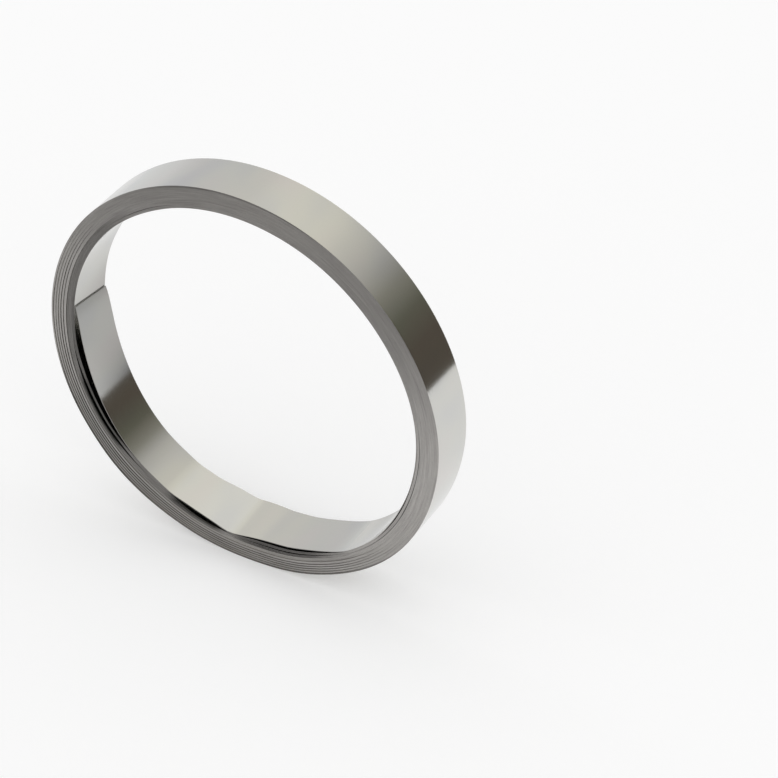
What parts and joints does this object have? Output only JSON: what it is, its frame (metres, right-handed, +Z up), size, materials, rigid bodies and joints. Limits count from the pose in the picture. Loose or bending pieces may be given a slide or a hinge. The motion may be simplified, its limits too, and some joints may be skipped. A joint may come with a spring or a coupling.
{
  "type": "coil of stainless steel strip",
  "caption": "Narrow coil of bright cold-rolled stainless steel strip standing on its rim, open bore, turns showing on both ends, inner end sprung off the bore.",
  "frame": {"origin": "on the floor, under the middle of the coil, which stands on its rim", "axes": "+Z up; +Y along the coil's axis from its front end to its back end; +X to the right, seen from the front"},
  "size_m": [0.3415, 0.0428, 0.3412],
  "materials": {
    "strip": "bright cold-rolled, with fine rolling lines along the strip and plain slit edges"
  },
  "bodies": {
    "root": {"strip_coil": "strip"}
  },
  "joints": []
}
